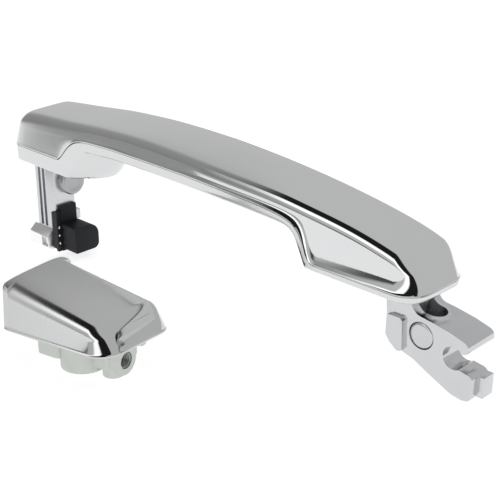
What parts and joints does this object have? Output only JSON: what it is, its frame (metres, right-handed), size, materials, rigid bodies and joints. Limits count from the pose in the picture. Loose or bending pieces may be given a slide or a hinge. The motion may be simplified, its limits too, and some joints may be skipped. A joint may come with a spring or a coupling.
{
  "type": "car door handle",
  "caption": "Chrome strap pull handle for a car door, with a latch leg, guide shoe, open pivot hook and a separate wedge-shaped end cap laid beside it.",
  "frame": {"origin": "centre of the hook's pivot notch, on its axis, in the middle plane of the handle", "axes": "+X along the handle from the latch leg to the hook, +Y across the handle, +Z out of the door; the door skin is the plane Z = 17 mm"},
  "size_m": [0.2473, 0.0982, 0.0738],
  "materials": {
    "shell_chrome": "polished plating",
    "cover_chrome": "bright plating",
    "beam_steel": "pressed steel",
    "screw_steel": "zinc plated",
    "leg_metal": "satin plating on a casting",
    "boss_grey": "satin plating",
    "foot_chrome": "bright plating",
    "shoe_black": "satin black",
    "stud_steel": "bright",
    "hook_metal": "satin plating on a casting",
    "pin_steel": "ground",
    "cap_chrome": "polished plating",
    "cap_cast": "dull as cast",
    "insert_steel": "dark steel",
    "peg_cast": "dull as cast"
  },
  "bodies": {
    "end_cap": {"cap_shell": "cap_chrome", "cap_body": "cap_cast", "cap_insert": "insert_steel", "cap_peg": "peg_cast"},
    "handle": {"outer_shell": "shell_chrome", "inner_cover": "cover_chrome", "carrier_beam": "beam_steel", "carrier_screws": "screw_steel", "latch_leg": "leg_metal", "leg_boss": "boss_grey", "leg_foot": "foot_chrome", "guide_shoe": "shoe_black", "shoe_studs": "stud_steel", "pivot_hook": "hook_metal", "hook_pin": "pin_steel"}
  },
  "joints": [
    {"name": "handle_pull", "type": "hinge", "parent": "end_cap", "child": "handle", "pos_m": [0, 0, 0], "axis": [0, 1, 0], "range_deg": [0, 10]}
  ]
}
